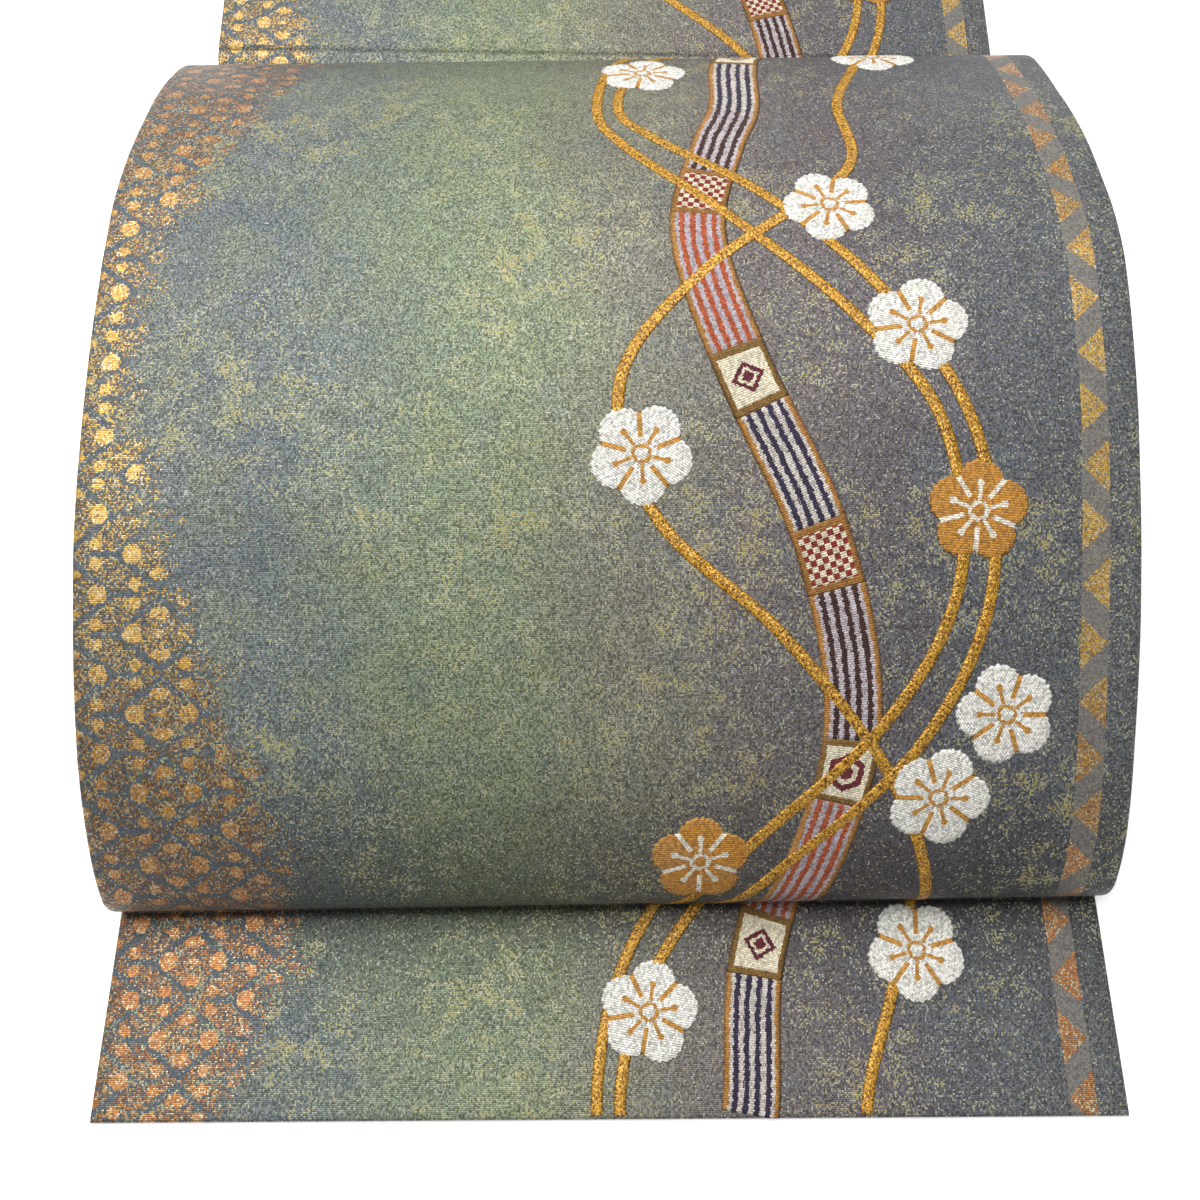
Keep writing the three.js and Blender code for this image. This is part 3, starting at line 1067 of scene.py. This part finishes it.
@dataclass
class FigureWork:
    """The woven figures of one repeat: a ribbon in lengths, gilt cords, and blossoms over them."""

    form: SashForm
    ribbon: Route = Route(((197, 2), (201, 45), (218, 96), (226, 140),
                           (216, 190), (194, 240), (182, 285), (190, 325)))
    cords: tuple[Route, ...] = (
        Route(((158, 4), (170, 44), (206, 88), (246, 128), (266, 172),
               (262, 218), (238, 262), (204, 300), (170, 330))),
        Route(((151, 4), (161, 48), (196, 96), (238, 138), (257, 178),
               (252, 222), (228, 256), (192, 292), (160, 326))),
        Route(((232, 4), (244, 40), (252, 76), (238, 118), (206, 160),
               (168, 196), (158, 236), (184, 272), (230, 312))),
    )
    blossoms: tuple[Blossom, ...] = (
        Blossom(167, 30, 15.5, 10, True),
        Blossom(251, 47, 15.5, 40, True),
        Blossom(182, 92, 15, 0, False),
        Blossom(252, 112, 15.5, 20, True),
        Blossom(271, 137, 15, 55, True),
        Blossom(262, 196, 15, 5, False),
        Blossom(164, 214, 15.5, 33, True),
        Blossom(246, 252, 15.5, 12, True),
        Blossom(223, 296, 15, 48, True),
    )
    lengths: tuple[tuple[float, int], ...] = (  # each length of the ribbon and the number of its finish
        (40, 0), (19, 1), (52, 2), (19, 3), (44, 4), (19, 5), (34, 0), (19, 1), (47, 2), (19, 5), (35, 4),
    )
    ribbon_height: float = 0.14
    cord_height: float = 0.34
    cord_step: float = 0.04  # how much lower each cord lies than the one before it
    cord_half_width: float = 1.85
    cord_bulge: float = 0.16  # how far a turn of its thread stands out at the side
    cord_turn: float = 1.5  # from one such turn to the next
    blossom_height: float = 0.42
    sunk: float = 0.3  # how deep a strip's underside lies in the cloth

    @staticmethod
    def finishes() -> list[bpy.types.Material]:
        """The materials, in the order that the numbers in lengths count them; cord and blossoms last."""
        return [
            RibbonCloth("navy_stripes", Motif.STRIPES, (196, 188, 180), (52, 44, 66)).make(),
            RibbonCloth("lozenge_block", Motif.LOZENGE, (218, 208, 182), (96, 36, 48), (128, 96, 48)).make(),
            RibbonCloth("rust_stripes", Motif.STRIPES, (176, 166, 172), (172, 84, 48)).make(),
            RibbonCloth("hexagon_block", Motif.HEXAGON, (218, 208, 182), (104, 40, 46), (128, 96, 48)).make(),
            RibbonCloth("brown_stripes", Motif.STRIPES, (182, 172, 176), (64, 40, 36)).make(),
            RibbonCloth("check_block", Motif.CHECK, (214, 202, 176), (128, 44, 34), (150, 104, 50)).make(),
            CordThread().make(),
            BlossomCloth("pale_blossom", (232, 230, 222), (150, 152, 138), (192, 140, 66), 0.75).make(),
            BlossomCloth("ochre_blossom", (190, 134, 56), (142, 96, 48), (226, 220, 204), 0.7).make(),
        ]

    def build(self, node: str, finishes: list[bpy.types.Material]) -> bpy.types.Object:
        """Makes all the figures of one stretch as one piece.

        Args:
            node: the stretch.
            finishes: what finishes() gave.
        """
        low, high = self.form.spans[node]
        low = max(low, WALL / 2)  # clear of the flap's rounded hem
        cord_slot, pale_slot, ochre_slot = range(len(finishes) - 3, len(finishes))
        skin = Skin()
        self._lay_ribbon(skin, low, high)
        for index, route in enumerate(self.cords):
            *line, at = route.trace(low, high, 0.5)
            width = self.cord_half_width + self.cord_bulge * np.sin(2 * math.pi * at / self.cord_turn)
            self._lay_strip(skin, line, at, width, self.cord_height - self.cord_step * index, 8, cord_slot)
        for turn in range(-1, 4):
            for flower in self.blossoms:
                if low <= flower.v + turn * REPEAT < high:
                    self._lay_blossom(skin, flower, turn * REPEAT, pale_slot if flower.pale else ochre_slot)
        piece = skin.build(node + "_figure", finishes)
        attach(piece, "root")
        log.info("%s: %d faces", piece.name, len(piece.data.polygons))
        return piece

    def _lay_ribbon(self, skin: Skin, low: float, high: float) -> None:
        """Cuts the ribbon into its lengths, each with its own distances from its own middle."""
        shortest = 0.05  # a sliver of a length below this is left out
        scale = REPEAT / sum(length for length, _ in self.lengths)
        start = -REPEAT
        while start < high:
            for length, slot in self.lengths:
                stop = start + length * scale
                first, last = max(start, low), min(stop, high)
                if last - first > shortest:
                    *line, at = self.ribbon.trace(first, last, 0.9)
                    middle = at[0] + ((start + stop) / 2 - first) * (at[-1] - at[0]) / (last - first)
                    width = np.full_like(at, RibbonCloth.half_width)
                    self._lay_strip(skin, line, at - middle, width, self.ribbon_height, 12, slot)
                start = stop

    def _lay_strip(self, skin: Skin, line: Sequence[np.ndarray], along: np.ndarray, half_width: np.ndarray,
                   height: float, count: int, slot: int) -> None:
        """Adds a low crowned strip along a line, with its underside sunk in the cloth.

        Across the strip the height is the crown times 1 less the sixth power of the way out.

        Args:
            skin: what it is added to.
            line: places across and along, and unit directions across and along.
            along: the distance that the finish is drawn by, at each place.
            half_width: half the strip's width at each place.
            height: the crown's height.
            count: faces across.
            slot: the number of its finish.
        """
        u, v, du, dv = line
        share = np.linspace(-1, 1, count + 1)
        out = np.concatenate([share, share[-2:0:-1]])
        crown = height * (1 - share**6)
        lift = np.concatenate([crown, -self.sunk * (1 - share[-2:0:-1] ** 6)]) + WALL / 2
        off = half_width[:, None] * out[None, :]
        place_u, place_v = u[:, None] + off * dv[:, None], v[:, None] - off * du[:, None]
        points = self.form.place(place_u, place_v, lift[None, :])
        flat = np.stack([off, np.broadcast_to(along[:, None], off.shape)], axis=-1)
        sweep(skin, points, flat, slot)

    def _lay_blossom(self, skin: Skin, flower: Blossom, shift: float, slot: int) -> None:
        """Adds a blossom as a low closed pad.

        Its outline is that of five round petals: at an angle from a petal's middle, the far side of
        a circle of 0.47 of the radius whose centre lies 0.53 of the radius out.
        """
        angles = np.linspace(0, 2 * math.pi, 200, endpoint=False)
        from_middle = np.abs((angles + math.pi / 5) % (2 * math.pi / 5) - math.pi / 5)
        centre, petal = 0.53, 0.47
        rim = centre * np.cos(from_middle) + np.sqrt(petal**2 - (centre * np.sin(from_middle)) ** 2)
        rim = rim * (1 + 0.014 * np.sin(37 * angles) + 0.012 * np.sin(53 * angles))
        rings = np.array([0.12, 0.35, 0.6, 0.85, 0.95, 1.0, 0.8, 0.12])
        lifts = np.array([1, 1, 1, 1, 0.8, 0.0, -0.8, -0.8]) * self.blossom_height + WALL / 2
        reach = flower.radius * rings[:, None] * rim[None, :]
        x, y = reach * np.sin(angles), reach * np.cos(angles)
        turn = math.radians(flower.turn)
        u = flower.u + x * math.cos(turn) + y * math.sin(turn)
        v = flower.v + shift + y * math.cos(turn) - x * math.sin(turn)
        numbers = skin.add(self.form.place(u, v, lifts[:, None]), np.stack([x, y], axis=-1))
        after = np.roll(numbers, -1, axis=1)
        skin.fill(numbers[:-1], after[:-1], after[1:], numbers[1:], slot)
        for ring, lift, over in ((numbers[0], lifts[0], True), (numbers[-1], lifts[-1], False)):
            place = self.form.place(np.array([flower.u]), np.array([flower.v + shift]), np.array([lift]))
            hub = skin.add(place, np.zeros((1, 2)))
            beside = np.roll(ring, -1)
            hubs = np.broadcast_to(hub, ring.shape)
            skin.fan(*((hubs, beside, ring) if over else (hubs, ring, beside)), slot)


@dataclass(frozen=True)
class Lamp:
    """A square soft light: its place with the crease as zero along Y, its side and its power in watts."""

    name: str
    at: tuple[float, float, float]
    side: float
    power: float


@dataclass
class Studio:
    """The pale floor, the soft lights and the camera, in metres."""

    crease_y: float
    lamps: tuple[Lamp, ...] = (
        Lamp("overhead", (-0.17, 0.42, 0.95), 1.0, 17.2),
        Lamp("left_fill", (-1.2, -0.05, 0.7), 0.9, 0.7),
        Lamp("right_fill", (1.2, -0.05, 0.7), 0.9, 0.1),
    )
    aim: tuple[float, float, float] = (0.0, 0.1, 0.0)  # what the lamps point at, placed as they are
    surround: float = 0.2  # strength of the even light from all round
    floor_half: float = 3.0
    floor_tone: float = 0.9
    floor_glow: float = 0.4
    camera_at: tuple[float, float, float] = (-0.003, -0.0457, 0.377)  # placed as the lamps are
    camera_tilt: float = 22.1
    lens: float = 34.5

    def build(self) -> None:
        """Makes the floor, three large lights, an even surround and the camera."""
        self._floor()
        for lamp in self.lamps:
            self._light(lamp)
        world = bpy.data.worlds.new("surround")
        world.use_nodes = True
        background = world.node_tree.nodes["Background"]
        background.inputs["Color"].default_value = (1.0, 1.0, 1.0, 1.0)
        background.inputs["Strength"].default_value = self.surround
        bpy.context.scene.world = world
        bpy.context.scene.view_settings.view_transform = "Standard"
        self._camera()

    def _place(self, at: tuple[float, float, float]) -> np.ndarray:
        """A place given from the crease, in the scene's own frame."""
        return np.array(at) + (0.0, self.crease_y, 0.0)

    def _floor(self) -> None:
        """A pale square floor under the sash."""
        mesh = bpy.data.meshes.new("floor")
        half, tone = self.floor_half, self.floor_tone
        corners = [(x * half, y * half, 0) for x, y in ((-1, -1), (1, -1), (1, 1), (-1, 1))]
        mesh.from_pydata(corners, [], [(0, 1, 2, 3)])
        material = bpy.data.materials.new("pale_floor")
        material.use_nodes = True
        shader = material.node_tree.nodes["Principled BSDF"]
        shader.inputs["Base Color"].default_value = (tone, tone, tone, 1.0)
        shader.inputs["Emission Color"].default_value = (1.0, 1.0, 1.0, 1.0)
        shader.inputs["Emission Strength"].default_value = self.floor_glow
        shader.inputs["Roughness"].default_value = 0.9
        mesh.materials.append(material)
        put("floor", mesh)

    def _light(self, lamp: Lamp) -> None:
        """A square soft light, turned to where the lamps aim."""
        data = bpy.data.lights.new(lamp.name, "AREA")
        data.size = lamp.side
        data.energy = lamp.power
        light = put(lamp.name, data)
        at = self._place(lamp.at)
        x, y, z = self._place(self.aim) - at
        light.location = at
        light.rotation_euler = (math.atan2(math.hypot(x, y), -z), 0.0, math.atan2(-x, y))

    def _camera(self) -> None:
        """The camera stands just in front of the crease and looks steeply down and back."""
        data = bpy.data.cameras.new("camera")
        data.lens = self.lens
        data.sensor_width = 36.0
        data.clip_start = 0.01
        camera = put("camera", data)
        camera.location = self._place(self.camera_at)
        camera.rotation_euler = (math.radians(self.camera_tilt), 0.0, 0.0)
        bpy.context.scene.camera = camera


def main() -> None:
    """Builds the sash, its woven figures and the studio, in that order."""
    logging.basicConfig(level=logging.INFO, format="%(name)s: %(message)s")
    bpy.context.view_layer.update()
    tip_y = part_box("tare_flap")[0].y / MM + WALL / 2 - SEAM / 2
    form = SashForm(tip_y, Stack())
    face, reverse = FaceCloth().make(), ReverseCloth().make()
    work, finishes = FigureWork(form), FigureWork.finishes()
    figured = ("tare_flap", "drum", "tuck", "top_layer")
    figures = {node: work.build(node, finishes) for node in figured}
    stretches = (
        ClothStretch("tare_flap", form, Held.LAID, ("floor",), hemmed_start=True),
        ClothStretch("drum", form, Held.DRAPED, ("tare_flap_cloth",)),
        ClothStretch("tuck", form, Held.DRAPED, ("floor",)),
        ClothStretch("top_layer", form, Held.LAID, ("folded_stack_cloth",), spacing=4.0),
        ClothStretch("folded_stack", form, Held.FOLDED, ("floor",),
                     columns=24, spacing=16.0, hemmed_end=True),
    )
    for stretch in stretches:
        own = [figures[stretch.node]] if stretch.node in figures else []
        stretch.build(face, reverse, own)
    Studio(crease_y=(tip_y + CREASE_FROM_TIP) * MM).build()


if __name__ == "__main__":
    main()
